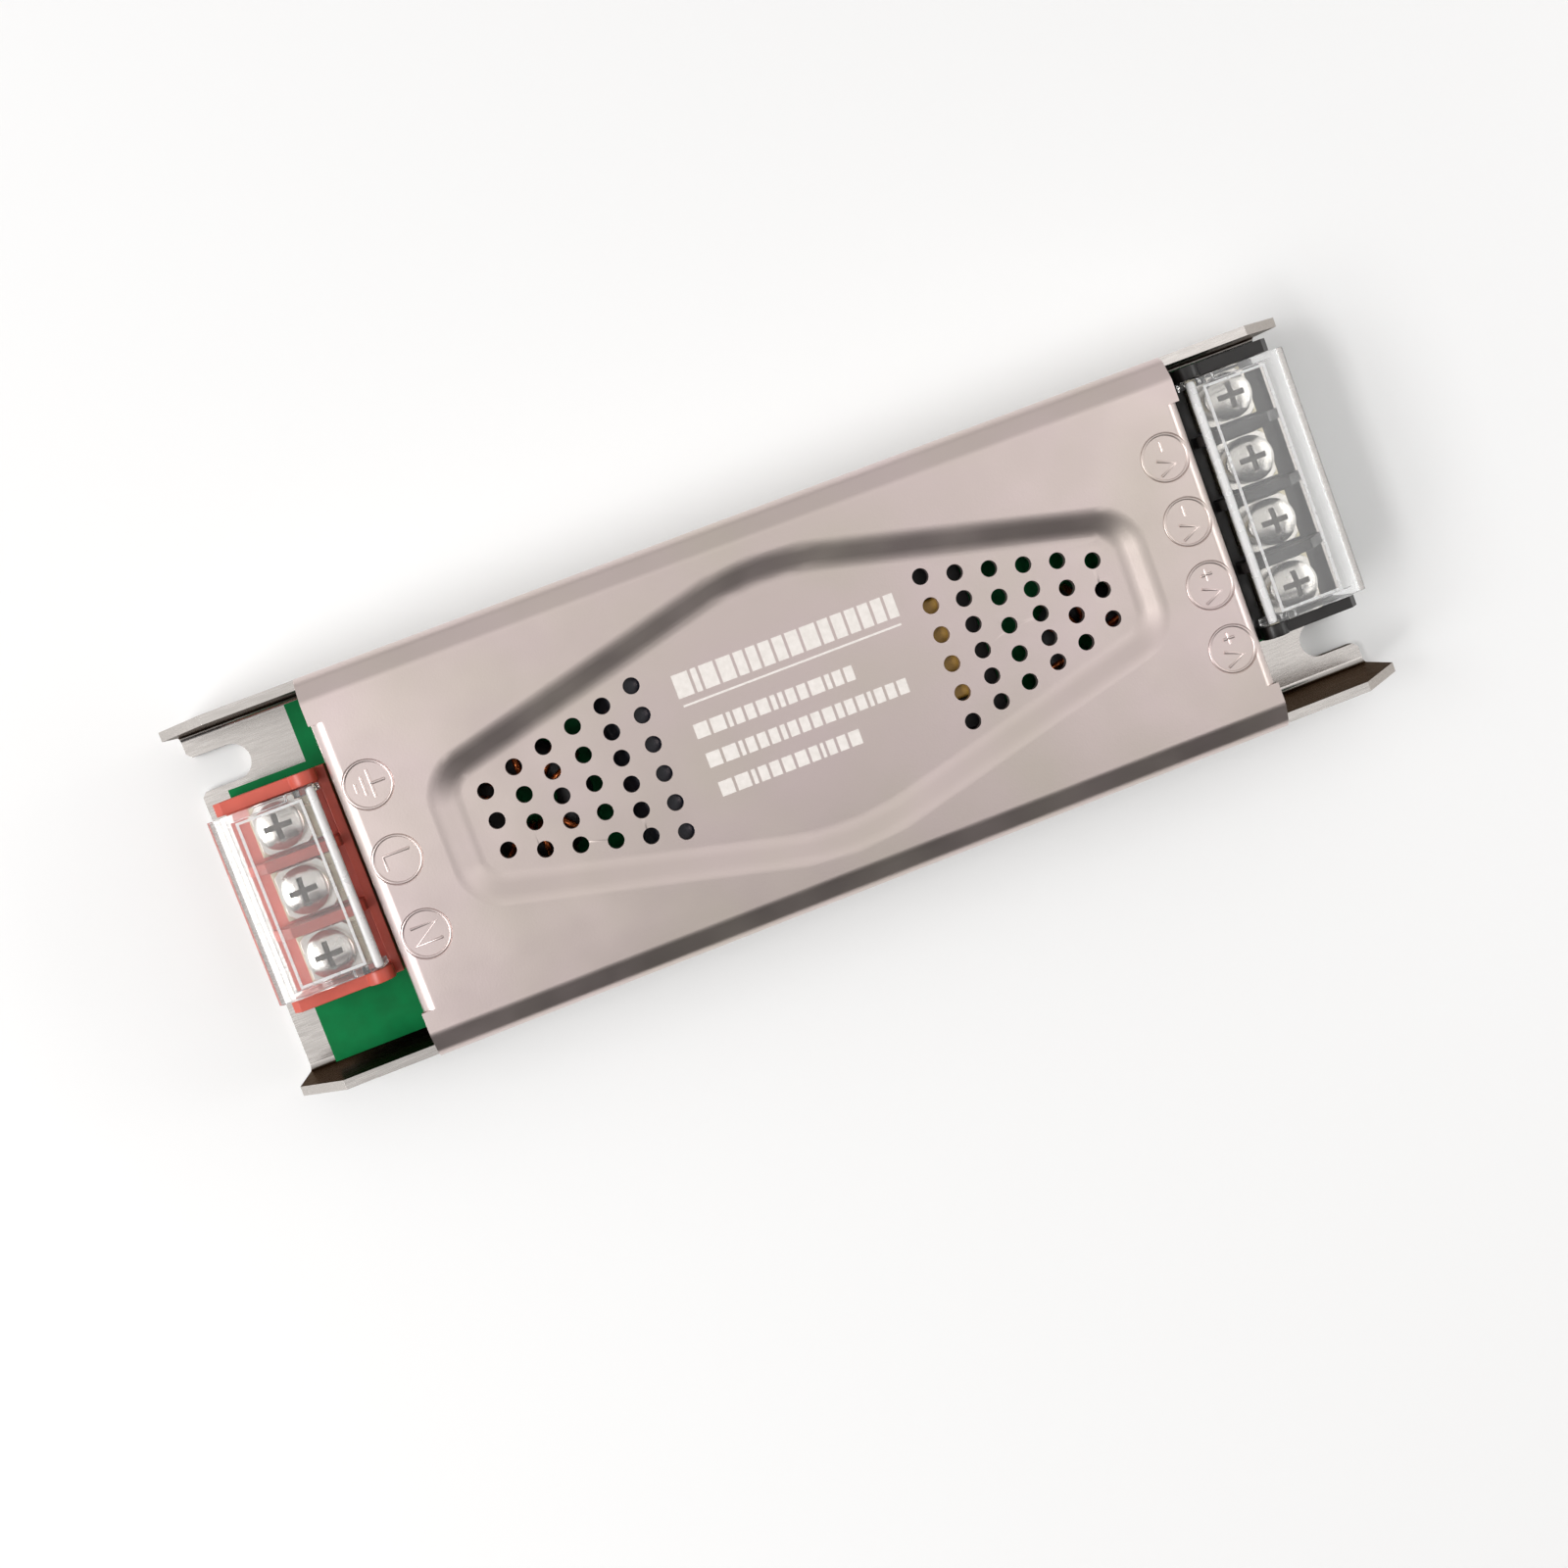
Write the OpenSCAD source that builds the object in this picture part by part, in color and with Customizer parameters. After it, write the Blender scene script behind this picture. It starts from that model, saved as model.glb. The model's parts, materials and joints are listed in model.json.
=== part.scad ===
// Slim LED power supply: folded metal case, input terminals at -X, output terminals at +X.
// Millimetres, +Z up, origin under the middle of the tray.

/* [View] */
// Sub-part to draw, or all of them

/* [Case] */
// Length of the base tray
tray_length = 146.4; // [130:0.2:180]
// Outside width of tray and cover
case_width = 47.4; // [46:0.1:60]
// Height of the closed case
case_height = 18.7; // [18:0.1:26]
// Height of the walls at their cut-down ends
wall_end_height = 9.1; // [4:0.1:12]
// Length over which a wall slopes down to its end
wall_slope = 6.6; // [2:0.1:10]
// Sheet thickness of the tray
tray_sheet = 1.2; // [0.8:0.1:2]
// Inside bend radius of the sheet parts
bend_radius = 0.8; // [0.4:0.1:2]

/* [Mounting slots] */
// Width of each open slot
slot_width = 4.6; // [4.2:0.1:6]
// Depth of each slot from the tray's end
slot_depth = 7.3; // [5:0.1:10]
// Distance of the slots from the case's side
slot_inset = 6.3; // [5:0.1:9]
// Chamfer at each slot mouth
slot_chamfer = 0.6; // [0:0.1:1.5]

/* [Cover] */
// Length of the cover
cover_length = 109.2; // [100:0.2:140]
// Sheet thickness of the cover
cover_sheet = 1.0; // [0.6:0.1:1.2]
// Width of the bevel along each long edge
bevel_width = 3.0; // [2:0.1:5]
// Drop of that bevel
bevel_drop = 1.25; // [0.6:0.05:2.4]
// Height of the cover's lip between the bevel and the tray's wall
lip_height = 2.25; // [1.6:0.05:4]
// Depth of the turned-down end flanges
flange_depth = 3.4; // [2:0.1:5]
// Relief between an end flange and the bevels
flange_relief = 2.8; // [1.5:0.1:5]
// Half length of the sunk panel
panel_half_length = 45.4; // [44:0.2:47]
// Half width of the sunk panel at its ends
panel_end_half = 8.7; // [7:0.1:11]
// Flat strip between the panel's middle corner and the cover's bevel
panel_margin = 0.75; // [0.5:0.05:4]
// Corner radius of the panel's floor at its ends
panel_floor_radius = 2.3; // [1:0.1:4]
// Corner radius at the panel's middle
panel_mid_radius = 35; // [10:1:40]
// Depth of the sunk panel
panel_depth = 1.0; // [0.5:0.1:1.2]
// Width of the panel's sloping rim
panel_slope = 4.2; // [2:0.1:4.6]
// Diameter of the vent holes
vent_diameter = 2.0; // [1.2:0.1:2.6]
// Pitch of the vent columns
vent_pitch = 4.04; // [3.5:0.02:4.5]
// Distance of the innermost vent column from the middle
vent_start = 18.3; // [14:0.1:20]
// Distance of the outermost vents from the foot of the panel's rim
vent_margin = 1.9; // [1.4:0.05:3]
// Largest pitch of the vents in a column
vent_row_pitch = 3.7; // [3:0.05:4]
// Diameter of the pressed terminal rings
ring_diameter = 6.1; // [4:0.1:7]
// Depth of the pressed rings
ring_depth = 0.2; // [0.1:0.02:0.4]
// Distance of the rings from the middle
ring_distance = 50.7; // [49:0.1:52]

// Pitch of the input rings
input_ring_pitch = 9.3; // [7:0.1:10]
// Pitch of the output rings
output_ring_pitch = 8.1; // [7:0.1:9]

/* [Cover fixing] */
// Distance of the side screws from the middle
side_screw_x = 46; // [40:0.5:50]
// Distance of the side screws below the wall's top
side_screw_drop = 3.8; // [3:0.1:5]
// Thread diameter of the side screws
case_thread = 3; // [2.5:0.1:3]
// Head diameter of the countersunk side screws
side_head = 5.2; // [4.5:0.1:5.6]
// Depth of their countersink
side_sink = 1.1; // [0.8:0.1:1.1]
// Width of the cover's inner tabs
tab_width = 9; // [7:0.5:12]

/* [Board] */
// Height of the board's underside
board_height = 5.0; // [4:0.1:6]
// Board thickness
board_sheet = 1.6; // [1:0.1:2]
// Board length
board_length = 137.4; // [120:0.2:140]
// Gap between the board and the tray's walls
board_gap = 0.8; // [0.3:0.1:3]
// Length of the corner notches over the mounting slots
notch_length = 10; // [8:0.1:12]
// Width of those notches
notch_width = 7.4; // [7.2:0.1:7.8]
// Distance of the board screws from the terminal blocks
post_gap = 3.5; // [3.2:0.1:5]
// Distance of the board screws from the board's edge
post_inset = 3.7; // [3:0.1:6]
// Diameter of the posts under the board
post_diameter = 5.2; // [4.5:0.1:6]
// Diameter of the posts' riveted feet
post_foot = 3.6; // [3:0.1:4]
// Thread diameter of the board screws
board_thread = 2.5; // [2:0.1:3]
// Head diameter of the board screws
board_head = 5.4; // [4.5:0.1:6]
// Head height of the board screws
board_head_height = 1.8; // [1.2:0.1:2.4]
// Insulation sheet thickness
film_sheet = 0.4; // [0.2:0.1:0.6]

/* [Terminals] */
// Pitch of the terminals
pitch = 8.25; // [7.6:0.05:8.6]
// Ways in the input block
input_ways = 3; // [2:1:3]
// Ways in the output block
output_ways = 4; // [2:1:4]
// Gap between the output block and the tray's far wall
output_gap = 0.95; // [0.1:0.05:4]
// Distance of the blocks' wire side from the middle
block_front = 69.4; // [69:0.1:72]
// Distance of the blocks' case side from the middle
block_back = 55.9; // [55.4:0.1:57]
// Height of the barriers above the board
barrier_height = 7.6; // [7:0.1:8]
// Thickness of the barriers
barrier_sheet = 1.3; // [1:0.1:1.6]
// Thickness of the block's end walls
end_wall = 1.6; // [1.2:0.1:2]
// Length over which the barriers slope down to the wire side
barrier_rake = 3.4; // [1:0.1:3.4]
// Thickness of the block's floor
floor_sheet = 2.4; // [2:0.1:2.6]
// Thickness of the contact strips and clamps
contact_sheet = 0.8; // [0.6:0.1:1]
// Thread diameter of the terminal screws
terminal_thread = 3; // [2.5:0.1:3.2]
// Head diameter of the terminal screws
terminal_head = 5.8; // [5:0.1:6.2]
// Head height of the terminal screws
terminal_head_height = 1.9; // [1.4:0.1:2]
// Distance of the terminal screws from the middle
terminal_x = 63.4; // [62:0.1:64]
// Distance of the flip covers' pivots from the middle
pivot_x = 58.3; // [58:0.1:59]
// Height of the flip covers' pivots above the board
pivot_height = 7.0; // [6.8:0.1:7.4]
// Height of the closed flip covers above their pivots
flip_rise = 2.8; // [2.6:0.1:3.4]
// Diameter of the pivot pins
pivot_pin = 1.6; // [1.2:0.1:1.8]
// Thickness of the clear covers
flip_sheet = 1.0; // [0.8:0.1:1.2]
// Thickness of the clear covers' lugs and end skirts
lug_sheet = 0.9; // [0.7:0.1:1.1]
// Distance of the clear covers' front edge from the middle
flip_front = 70.3; // [70:0.1:72]

/* [Inner parts] */
// Clearance between the tallest inner parts and the sunk panel
part_gap = 0.3; // [0.2:0.1:2]
// Gap between neighbouring capacitors
can_gap = 1.2; // [0.4:0.1:2]
// Length of the bulk capacitors
bulk_length = 25; // [18:0.5:26]
// Radius of the output capacitors
output_can_radius = 4; // [3:0.1:4.2]
// Radius of the fuse
fuse_radius = 4.2; // [3.5:0.1:4.5]
// Length of the film capacitor
film_length = 13; // [10:0.5:14]
// Width of the film capacitor
film_width = 6; // [4:0.5:6.5]
// Length of the bridge rectifier
bridge_length = 13.6; // [11:0.2:14]
// Thickness of the bridge rectifier
bridge_width = 3.6; // [3:0.1:4]
// Width of the power packages
package_width = 10; // [9:0.2:10.4]
// Length of the power packages' tabs
package_tab = 9.2; // [9:0.1:10]
// Length of the power packages' mouldings
package_length = 7.6; // [6:0.1:8.4]
// Thickness of the power packages
package_height = 4.4; // [3.6:0.1:4.8]
// Side of the square transformer core
core_side = 21; // [18:0.2:21]
// Height of bobbin and winding above and below the core
core_cover = 2.1; // [1.6:0.1:3]
// Width of the core's middle leg
core_leg = 6.6; // [5:0.1:7]
// Width of the core's windows
core_window = 5.2; // [4:0.1:5.6]
// Length of the core's windows
core_window_length = 14.6; // [12:0.2:15]
// Wall of the transformer's bobbin
bobbin_wall = 0.8; // [0.6:0.1:1]
// Middle radius of the filter's ring core
filter_radius = 5.3; // [4:0.1:5.5]
// Section radius of the filter's ring core
filter_section = 2.2; // [1.6:0.1:2.4]
// Middle radius of the choke's ring core
choke_radius = 5; // [4:0.1:5.2]
// Section radius of the choke's ring core
choke_section = 2.1; // [1.6:0.1:2.3]
// Radius of the windings' wire
wire_radius = 0.4; // [0.3:0.05:0.5]

/* [Fits] */
// Radial running clearance of pins and threads
run_fit = 0.05; // [0.02:0.01:0.1]
// Gap between the clear covers and the blocks' end walls
flip_gap = 0.15; // [0.1:0.05:0.3]
// Clearance between fixed pieces
fix_fit = 0.05; // [0.02:0.01:0.2]

/* [Hidden] */
$fn = 48;
e = 0.01;
bend_steps = 8;
panel_steps = 8;
half_width = case_width / 2;
inner_half = half_width - tray_sheet;
half_tray = tray_length / 2;
half_cover = cover_length / 2;
edge_z = case_height - bevel_drop;
wall_height = edge_z - lip_height;
side_screw_z = wall_height - side_screw_drop;
slot_offset = half_width - slot_inset;
flat_half = half_width - bevel_width;
flange_half = flat_half - flange_relief;
panel_mid_half = flat_half - panel_margin;
panel_end_radius = panel_floor_radius + panel_slope;
panel_angle = atan((panel_mid_half - panel_end_half) / panel_half_length);
panel_floor = case_height - panel_depth;
vent_counts = [6, 6, 5, 5, 4, 3];
film_top = tray_sheet + film_sheet;
board_top = board_height + board_sheet;
board_half = inner_half - board_gap;
post_x = block_back - post_gap;
post_y = board_half - post_inset;
post_holes = [for (x = [-post_x, post_x], y = [-post_y, post_y]) [x, y]];
floor_top = board_top + floor_sheet;
contact_top = floor_top + contact_sheet;
clamp_top = contact_top + contact_sheet;
clamp_size = pitch - barrier_sheet - 0.75;
barrier_top = board_top + barrier_height;
pivot_z = board_top + pivot_height;
flip_top = pivot_z + flip_rise;
flip_under = flip_top - flip_sheet;
function block_length(n) = n * pitch - barrier_sheet + 2 * end_wall;
output_shift = inner_half - output_gap - block_length(output_ways) / 2;
// Height free for parts between the board and the sunk panel
part_room = panel_floor - cover_sheet - part_gap - board_top;
bulk_radius = part_room / 2;
core_height = part_room - 2 * core_cover;
lead_radius = 0.35;
lead_reach = 1.2;

// Where the inner parts stand on the board, some of them held to its edges
fuse_at = [-47.6, 7.5];
varistor_at = [-47.6, -3];
thermistor_at = [-47.6, -11];
film_at = [-35, board_half - film_width / 2 - 3.2];
filter_at = [-34.5, 0];
bridge_at = [-31, bridge_width / 2 + 3.4 - board_half];
transistor_at = [-13, package_width / 2 + 0.1 - board_half];
bulk_start = transistor_at.y + package_width / 2 + 0.4;
bulk_at = [for (s = [-1, 1]) [-13.5 + s * (bulk_radius + can_gap / 2), bulk_start]];
transformer_at = [13.2, 0];
safety_at = [2.5, board_half - 5.7];
opto_at = [5, 4.4 - board_half];
chip_at = [18, 4.4 - board_half];
rectifier_at = [35, board_half - package_width / 2 - 1.2];
choke_at = [37.15, -6];
output_can_at = [for (i = [-1 : 1]) [49.2, i * (2 * output_can_radius + 1)]];

// Lead places of each inner part, used for its leads and for the board's holes
fuse_leads = [for (s = [-1, 1]) fuse_at + [0, 2.5 * s]];
varistor_leads = [for (s = [-1, 1]) varistor_at + [2.5 * s, 0]];
thermistor_leads = [for (s = [-1, 1]) thermistor_at + [2.5 * s, 0]];
film_leads = [for (s = [-1, 1]) film_at + [5 * s, 0]];
bridge_leads = [for (i = [-1.5 : 1.5]) bridge_at + [3.2 * i, 0]];
bulk_leads = [for (p = bulk_at, s = [-1, 1]) p + [1.25 * s, bulk_length + 2]];
safety_leads = [for (s = [-1, 1]) safety_at + [2.5 * s, 0]];
bobbin_leads = [for (s = [-1, 1], i = [-2 : 2]) transformer_at + [2.5 * i, s * (core_side / 2 + 2.1)]];
can_leads = [for (p = output_can_at, s = [-1, 1]) p + [1.75 * s, 0]];
lead_holes = concat(fuse_leads, varistor_leads, thermistor_leads, film_leads, bridge_leads, bulk_leads,
    safety_leads, bobbin_leads, can_leads);

// Helpers

// Draws a section given in Y and Z, length l along X
module along_x(l) translate([-l / 2, 0, 0]) rotate([90, 0, 90]) linear_extrude(l) children();

// Draws a section given in X and Z, length l along Y, centred on y
module along_y(l, y = 0) translate([0, y + l / 2, 0]) rotate([90, 0, 0]) linear_extrude(l) children();

function heading(a, b) = atan2(b.y - a.y, b.x - a.x);
function left_of(h) = [-sin(h), cos(h)];

// Line at depth d inside a bent sheet: p is its outer line, every bend turns left with outer radius reach
function sheet_line(p, reach, d) = let(last = len(p) - 1) concat(
    [p[0] + d * left_of(heading(p[0], p[1]))],
    [for (i = [1 : last - 1]) let(
            h = heading(p[i - 1], p[i]),
            turn = (heading(p[i], p[i + 1]) - h + 720) % 360,
            start = p[i] + (p[i - 1] - p[i]) * reach * tan(turn / 2) / norm(p[i - 1] - p[i]),
            centre = start + reach * left_of(h))
        for (k = [0 : bend_steps]) centre - (reach - d) * left_of(h + turn * k / bend_steps)],
    [p[last] + d * left_of(heading(p[last - 1], p[last]))]);

// Section of a bent sheet of thickness t and inside bend radius r
module sheet_section(p, t, r) {
    inner = sheet_line(p, t + r, t);
    polygon(concat(sheet_line(p, t + r, 0), [for (i = [len(inner) - 1 : -1 : 0]) inner[i]]));
}

// Round leads that reach down through the board
module leads(places, top = board_top + 0.5)
    for (p = places) translate([p.x, p.y, board_height - lead_reach])
        cylinder(r = lead_radius, h = top - board_height + lead_reach);

// Box standing on the board
module on_board(at, size) translate([at.x - size.x / 2, at.y - size.y / 2, board_top]) cube(size);

// Puts a block drawn with its wire side towards -X in its place
module at_input() children();
module at_output() translate([0, output_shift, 0]) rotate(180) children();

function way_y(n, i) = (i - (n - 1) / 2) * pitch;

// Case

module slot_shape() {
    translate([slot_depth - slot_width / 2, 0]) circle(d = slot_width);
    translate([-1, -slot_width / 2]) square([slot_depth - slot_width / 2 + 1, slot_width]);
    polygon([[-1, -slot_width / 2 - slot_chamfer - 1], [slot_chamfer, -slot_width / 2],
        [slot_chamfer, slot_width / 2], [-1, slot_width / 2 + slot_chamfer + 1]]);
}

module wall_end_cut() along_y(case_width + 2) polygon([
    [half_tray - wall_slope, wall_height], [half_tray, wall_end_height], [half_tray + 1, wall_end_height],
    [half_tray + 1, wall_height + 1], [half_tray - wall_slope, wall_height + 1]]);

module base_tray() color("silver") difference() {
    along_x(tray_length) sheet_section([[-half_width, wall_height], [-half_width, 0], [half_width, 0],
        [half_width, wall_height]], tray_sheet, bend_radius);
    for (a = [0, 180]) rotate(a) {
        wall_end_cut();
        translate([-half_tray, slot_offset, -1]) linear_extrude(tray_sheet + 2) slot_shape();
    }
    for (p = post_holes) translate([p.x, p.y, -1]) cylinder(d = post_foot, h = tray_sheet + 2);
    side_screw_places() {
        cylinder(r = case_thread / 2 + fix_fit, h = 4 * tray_sheet, center = true);
        translate([0, 0, -side_sink])
            cylinder(r1 = side_head / 2 - side_sink, r2 = side_head / 2, h = side_sink);
        cylinder(d = side_head, h = 1);
    }
}

// Places of the four side screws, +Z pointing out of the case at the tray's outer face
module side_screw_places()
    for (a = [0, 180], s = [-1, 1]) rotate(a) translate([s * side_screw_x, half_width, side_screw_z])
        rotate([-90, 0, 0]) children();

// Rounded outline of the sunk panel, its sides moved in by d: six corners, each an arc of n steps
panel_corners = [[panel_half_length, -panel_end_half, panel_end_radius],
    [panel_half_length, panel_end_half, panel_end_radius], [0, panel_mid_half, panel_mid_radius],
    [-panel_half_length, panel_end_half, panel_end_radius],
    [-panel_half_length, -panel_end_half, panel_end_radius], [0, -panel_mid_half, panel_mid_radius]];
function panel_edge(x) = panel_mid_half - x * tan(panel_angle);
function corner_arc(a, b, c, r, n) = let(
        u = (a - b) / norm(a - b), v = (c - b) / norm(c - b), half = acos(u * v) / 2,
        m = (u + v) / norm(u + v), o = b + m * r / sin(half),
        h0 = atan2((b + u * r / tan(half) - o).y, (b + u * r / tan(half) - o).x), sweep = 180 - 2 * half)
    [for (k = [0 : n]) o + r * [cos(h0 + sweep * k / n), sin(h0 + sweep * k / n)]];
function inset(p, d) = [p.x - sign(p.x) * d,
    p.y - sign(p.y) * d * (1 - abs(sign(p.x)) * sin(panel_angle)) / cos(panel_angle)];
function panel_ring(d) = let(n = len(panel_corners)) [for (i = [0 : n - 1])
    each corner_arc(inset(panel_corners[(i + n - 1) % n], d), inset(panel_corners[i], d),
        inset(panel_corners[(i + 1) % n], d), panel_corners[i][2] - d, 8)];

// Sunk panel as a solid from height top down to floor_z, its rim an S-shaped slope, grown by grow
module panel_solid(floor_z, top, grow) {
    rings = concat([[for (p = panel_ring(-grow)) [p.x, p.y, top]]],
        [for (k = [0 : panel_steps]) [for (p = panel_ring(panel_slope * k / panel_steps - grow))
            [p.x, p.y, floor_z + panel_depth * (1 + cos(180 * k / panel_steps)) / 2]]]);
    m = len(rings[0]);
    last = len(rings) - 1;
    polyhedron(points = [for (r = rings) each r], faces = concat([[for (i = [0 : m - 1]) m - 1 - i]],
        [for (j = [0 : last - 1], i = [0 : m - 1])
            [j * m + i, j * m + (i + 1) % m, (j + 1) * m + (i + 1) % m, (j + 1) * m + i]],
        [[for (i = [0 : m - 1]) last * m + i]]));
}

// Two fields of vents; a column spreads to the panel's rim, or less at its largest pitch
module vents() for (s = [-1, 1], c = [0 : len(vent_counts) - 1]) {
    x = vent_start + vent_pitch * c;
    last = vent_counts[c] - 1;
    reach = min(panel_edge(x) - panel_slope / cos(panel_angle) - vent_margin, vent_row_pitch * last / 2);
    for (k = [0 : last]) translate([s * x, reach * (2 * k / last - 1), panel_floor - cover_sheet - 1])
        cylinder(d = vent_diameter, h = cover_sheet + 2);
}

// Rings pressed round the terminal signs, one for each way
module ring_places() {
    for (i = [0 : input_ways - 1])
        translate([-ring_distance, (i - (input_ways - 1) / 2) * input_ring_pitch, case_height]) children();
    for (i = [0 : output_ways - 1])
        translate([ring_distance, (i - (output_ways - 1) / 2) * output_ring_pitch, case_height]) children();
}

// Tab inside the tray's wall that takes a side screw
module inner_tab() along_x(tab_width) polygon([
    [inner_half - fix_fit, side_screw_z - 3], [inner_half - fix_fit, wall_height + 0.1],
    [half_width - cover_sheet + 0.1, wall_height + 0.6],
    [half_width - cover_sheet + 0.1, wall_height + lip_height / 2],
    [inner_half - fix_fit - cover_sheet, wall_height + lip_height / 2],
    [inner_half - fix_fit - cover_sheet, side_screw_z - 3]]);

module top_cover() color("gainsboro") difference() {
    union() {
        along_x(cover_length - 2 * (cover_sheet + bend_radius)) cover_section();
        for (s = [-1, 1]) mirror([s < 0 ? 1 : 0, 0, 0]) {
            end_flange();
            translate([half_cover - cover_sheet - bend_radius, 0, 0]) bevel_end();
        }
        panel_solid(panel_floor - cover_sheet, case_height - cover_sheet / 2, 0.4);
        for (a = [0, 180], s = [-1, 1]) rotate(a) translate([s * side_screw_x, 0, 0]) inner_tab();
    }
    panel_solid(panel_floor, case_height + 1, 0);
    vents();
    ring_places() translate([0, 0, -ring_depth]) cylinder(d = ring_diameter, h = 1);
    side_screw_places() cylinder(d = case_thread, h = 12, center = true);
}

module cover_section() sheet_section([[half_width, wall_height], [half_width, edge_z],
    [flat_half, case_height], [-flat_half, case_height], [-half_width, edge_z], [-half_width, wall_height]],
    cover_sheet, bend_radius);

// The bevels run on past the bend of the end flange
module bevel_end() intersection() {
    translate([(cover_sheet + bend_radius) / 2, 0, 0]) along_x(cover_sheet + bend_radius) cover_section();
    for (s = [-1, 1]) translate([-1, s * half_width - (flange_relief + bevel_width), 0])
        cube([6, 2 * (flange_relief + bevel_width), case_height + 1]);
}

// Turned-down flange at the +X end of the cover
module end_flange() along_y(2 * flange_half) sheet_section([[half_cover, case_height - flange_depth],
    [half_cover, case_height], [half_cover - cover_sheet - bend_radius - 2, case_height]],
    cover_sheet, bend_radius);

module cover_screws() color("silver") side_screw_places() difference() {
    union() {
        translate([0, 0, -side_sink + fix_fit])
            cylinder(r1 = side_head / 2 - side_sink, r2 = side_head / 2 - fix_fit, h = side_sink - fix_fit);
        translate([0, 0, -tray_sheet - cover_sheet - 1])
            cylinder(d = case_thread - 2 * fix_fit, h = cover_sheet + tray_sheet + 1);
    }
    cross_recess(side_head * 0.46, 0.5, 0.9);
}

// Cross recess for a driver, cut down from z = 0
module cross_recess(l, w, depth) for (a = [0, 90]) rotate(a)
    translate([-l / 2, -w / 2, -depth]) cube([l, w, depth + 1]);

// Board and what carries it

module insulation_sheet() color("ivory") difference() {
    along_x(2 * (block_back - 0.3)) sheet_section([[fix_fit - inner_half, side_screw_z - 3.4],
        [fix_fit - inner_half, tray_sheet], [inner_half - fix_fit, tray_sheet],
        [inner_half - fix_fit, side_screw_z - 3.4]], film_sheet, bend_radius);
    for (p = post_holes) translate([p.x, p.y, 0])
        cylinder(r = post_diameter / 2 + 2 * fix_fit, h = film_top + 1);
}

module board_posts() color("silver") for (p = post_holes) translate(p) difference() {
    union() {
        translate([0, 0, tray_sheet]) cylinder(d = post_diameter, h = board_height - tray_sheet);
        cylinder(d = post_foot - 2 * fix_fit, h = tray_sheet + e);
    }
    translate([0, 0, tray_sheet]) cylinder(d = board_thread, h = board_height);
}

module board_screws() color("silver") for (p = post_holes) translate([p.x, p.y, board_top]) difference() {
    union() {
        cylinder(d = board_head, h = board_head_height);
        translate([0, 0, -4]) cylinder(d = board_thread - 2 * fix_fit, h = 4 + e);
    }
    translate([0, 0, board_head_height]) cross_recess(board_head * 0.56, 0.6, 1);
}

module circuit_board() color("seagreen") difference() {
    translate([-board_length / 2, -board_half, board_height])
        cube([board_length, 2 * board_half, board_sheet]);
    for (a = [0, 180]) rotate(a) translate([-board_length / 2 - 1, board_half - notch_width, 0])
        cube([notch_length + 1, notch_width + 1, board_top + 1]);
    for (p = post_holes) translate([p.x, p.y, 0]) cylinder(r = board_thread / 2 + fix_fit, h = board_top + 1);
    for (p = lead_holes) translate([p.x, p.y, 0]) cylinder(r = lead_radius + fix_fit, h = board_top + 1);
    at_input() contact_legs(input_ways, fix_fit);
    at_output() contact_legs(output_ways, fix_fit);
}

// Terminal blocks, drawn with the wire side towards -X

module terminal_block(n) {
    long = block_length(n);
    difference() {
        union() {
            translate([-block_front, -long / 2, board_top])
                cube([block_front - block_back, long, floor_sheet]);
            translate([-block_back - 1.2, -long / 2, board_top]) cube([1.2, long, 5.2]);
            if (n > 1) for (i = [0 : n - 2])
                along_y(barrier_sheet, way_y(n, i) + pitch / 2) side_profile(barrier_rake, floor_top + 0.6);
            for (s = [-1, 1]) along_y(end_wall, s * (long - end_wall) / 2) difference() {
                union() {
                    side_profile(1, barrier_top - 1);
                    translate([-pivot_x, pivot_z]) circle(1.7);
                }
                translate([-pivot_x, pivot_z]) circle(pivot_pin / 2 + run_fit);
            }
        }
        for (i = [0 : n - 1]) translate([-terminal_x, way_y(n, i), board_top - 1]) cylinder(d = 4.8, h = 9);
        contact_legs(n, fix_fit);
    }
}

// Side of a barrier or end wall, its top sloping over rake down to front_z at the wire side
module side_profile(rake, front_z) polygon([[-block_front, board_top], [-block_back - 1.2, board_top],
    [-block_back - 1.2, pivot_z - 0.4], [-pivot_x, barrier_top], [-block_front + rake, barrier_top],
    [-block_front, front_z]]);

// Legs of the contact strips, grown by g for the slots they pass through
module contact_legs(n, g = 0) for (i = [0 : n - 1])
    translate([-terminal_x + clamp_size / 2 + 0.2 - g, way_y(n, i) - 1.5 - g, board_height - 1.2 - g])
        cube([contact_sheet + 2 * g, 3 + 2 * g, contact_top - board_height + 1.2 + (g > 0 ? 1 : 0)]);

module contact_strips(n) {
    difference() {
        for (i = [0 : n - 1]) translate([-terminal_x, way_y(n, i), 0]) {
            translate([-clamp_size / 2 - 0.4, -clamp_size / 2, floor_top])
                cube([clamp_size + 0.6 + contact_sheet, clamp_size, contact_sheet]);
            translate([0, 0, floor_top - 1.4]) cylinder(d = 4.6, h = 1.4 + e);
        }
        for (i = [0 : n - 1]) translate([-terminal_x, way_y(n, i), board_top])
            cylinder(r = terminal_thread / 2 + run_fit, h = 9);
    }
    contact_legs(n);
}

// Square wire clamp under the head of terminal i
module clamp(n, i) translate([-terminal_x, way_y(n, i), contact_top]) difference() {
    linear_extrude(contact_sheet) difference() {
        square(clamp_size, center = true);
        for (a = [45 : 90 : 315]) rotate(a) translate([clamp_size * 0.707 - 0.5, -2]) square(4);
    }
    translate([0, 0, -1]) cylinder(r = terminal_thread / 2 + 2 * run_fit, h = contact_sheet + 2);
}

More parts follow.
